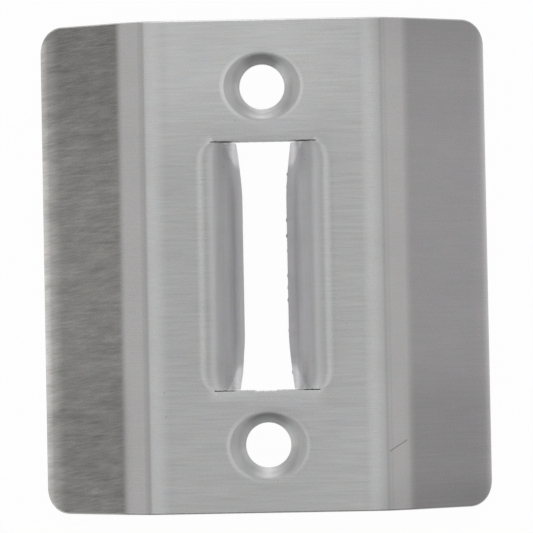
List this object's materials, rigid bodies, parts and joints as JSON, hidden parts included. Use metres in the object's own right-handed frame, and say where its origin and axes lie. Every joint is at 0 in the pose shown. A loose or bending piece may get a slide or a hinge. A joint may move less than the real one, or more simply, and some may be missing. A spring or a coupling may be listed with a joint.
{
  "type": "door strike plate",
  "caption": "Folded sheet-metal door strike plate with sloping lips, a central slot between pressed-down curved flanges, and countersunk screw holes in line with it.",
  "frame": {"origin": "centre of the plate on the surface that the lip edges rest on", "axes": "+Z out of the panel's visible face, +Y along the fold lines and the row of holes, +X across the plate"},
  "size_m": [0.064, 0.0698, 0.0084],
  "materials": {
    "satin_steel": "satin stainless steel, fine straight grain across the plate"
  },
  "bodies": {
    "root": {"strike_plate": "satin_steel"}
  },
  "joints": []
}
